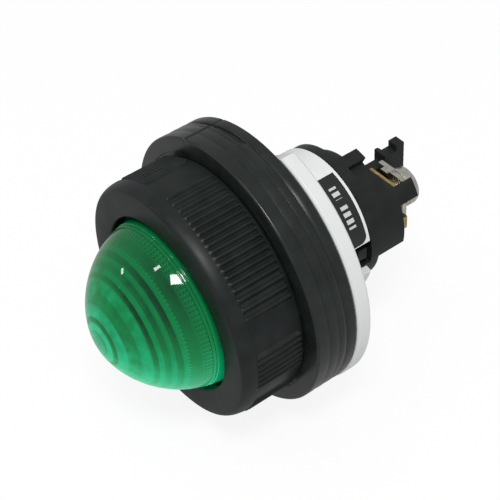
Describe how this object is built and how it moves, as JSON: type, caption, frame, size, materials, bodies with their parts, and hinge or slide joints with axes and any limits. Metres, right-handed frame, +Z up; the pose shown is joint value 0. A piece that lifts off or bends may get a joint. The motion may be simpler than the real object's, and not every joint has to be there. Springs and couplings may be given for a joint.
{
  "type": "panel pilot light",
  "caption": "Round pilot light with a translucent domed lens, a ribbed ring nut, rubber packings, a locating ring and screw terminals at the rear.",
  "frame": {"origin": "on the light's axis, in the plane where the panel's rear face lies on the foremost packing", "axes": "-Y points out through the lens and +Y towards the wires; +Z is up; +X is to the right for someone who looks at the wires"},
  "size_m": [0.0434, 0.055, 0.0432],
  "materials": {
    "green_lens": "clear moulded plastic",
    "black_rubber": "satin",
    "black_nut": "satin",
    "black_body": "satin",
    "white_nylon": "satin",
    "label_film": "printed film",
    "white_cup": "gloss",
    "lamp_glass": "clear",
    "plated_brass": "nickel plated",
    "brown_board": "pressed board",
    "brass": "plain",
    "spring_steel": "drawn wire",
    "plated_steel": "nickel plated"
  },
  "bodies": {
    "body": {"housing": "black_body", "lens_gasket": "black_rubber", "packing_1": "black_rubber", "packing_2": "black_rubber", "packing_3": "black_rubber", "packing_4": "black_rubber", "locating_ring": "white_nylon", "rating_label": "label_film", "reflector": "white_cup", "lamp": "lamp_glass", "socket_shell": "plated_brass", "insulating_disc": "brown_board", "contact_spring": "spring_steel", "terminal_block": "black_body", "terminal_plate_1": "brass", "terminal_plate_2": "brass"},
    "lens": {"lens": "green_lens"},
    "ring_nut": {"ring_nut": "black_nut"},
    "plunger": {"contact_plunger": "brass"},
    "clamp_1": {"wire_clamp_1": "plated_steel"},
    "clamp_2": {"wire_clamp_2": "plated_steel"},
    "screw_1": {"terminal_screw_1": "plated_steel"},
    "screw_2": {"terminal_screw_2": "plated_steel"}
  },
  "joints": [
    {"name": "ring_nut_turn", "type": "hinge", "parent": "body", "child": "ring_nut", "pos_m": [0, 0, 0], "axis": [0, 1, 0], "continuous": true},
    {"name": "lens_turn", "type": "hinge", "parent": "body", "child": "lens", "pos_m": [0, 0, 0], "axis": [0, 1, 0], "continuous": true},
    {"name": "contact_plunger_slide", "type": "slide", "parent": "body", "child": "plunger", "axis": [0, 1, 0], "range_m": [0, 0.0008], "stiffness_N_per_m": 400, "deforming": ["contact_spring"]},
    {"name": "clamp_1_slide", "type": "slide", "parent": "body", "child": "clamp_1", "axis": [0, 1, 0], "range_m": [-0.0012, 0.0006]},
    {"name": "screw_1_turn", "type": "hinge", "parent": "clamp_1", "child": "screw_1", "pos_m": [0.00545, 0.029, 0.0031], "axis": [0, 1, 0], "range_deg": [-720, 360]},
    {"name": "clamp_2_slide", "type": "slide", "parent": "body", "child": "clamp_2", "axis": [0, 1, 0], "range_m": [-0.0012, 0.0006]},
    {"name": "screw_2_turn", "type": "hinge", "parent": "clamp_2", "child": "screw_2", "pos_m": [-0.00545, 0.029, -0.0031], "axis": [0, 1, 0], "range_deg": [-720, 360]}
  ],
  "couplings": [
    {"joint": "screw_1_turn", "follows": "clamp_1_slide", "rad_per_m": 10472},
    {"joint": "screw_2_turn", "follows": "clamp_2_slide", "rad_per_m": 10472}
  ]
}
